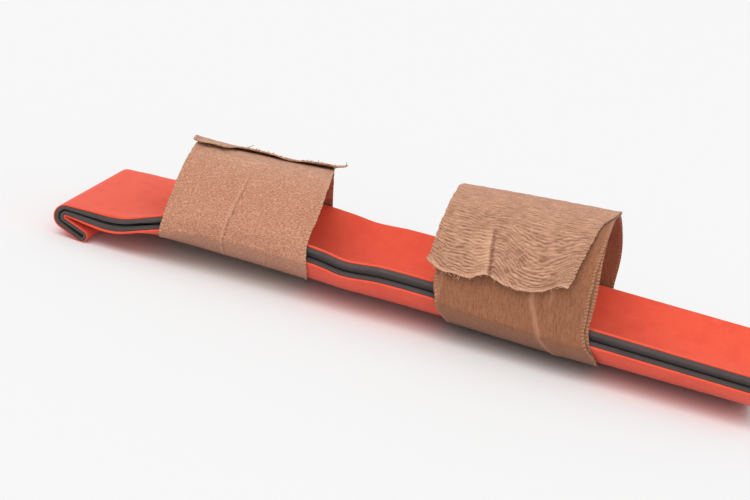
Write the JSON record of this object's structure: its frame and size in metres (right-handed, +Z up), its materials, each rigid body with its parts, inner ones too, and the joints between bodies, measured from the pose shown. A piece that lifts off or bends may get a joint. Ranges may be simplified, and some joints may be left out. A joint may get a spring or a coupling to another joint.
{
  "type": "aluminium foam splint with its two elastic bandages",
  "caption": "Foam-covered aluminium strip folded double, formed as a forearm trough with a hooked palm end, with two wound elastic bandages.",
  "frame": {"origin": "on the floor under the middle of the part, where it stands on its hooked end and on the elbow bandage", "axes": "+X along the splint from the palm end to the elbow end, +Z up out of the trough, +Y to the far side in the picture's view"},
  "size_m": [0.4354, 0.1102, 0.092],
  "materials": {
    "red_foam": "matte closed-cell foam",
    "grey_foam": "matte closed-cell foam",
    "aluminium_core": "mill",
    "wrist_wrap": "crepe knit",
    "elbow_wrap": "crepe knit"
  },
  "bodies": {
    "root": {"red_foam": "red_foam", "grey_foam": "grey_foam", "aluminium_core": "aluminium_core", "wrist_wrap": "wrist_wrap", "elbow_wrap": "elbow_wrap"}
  },
  "joints": []
}
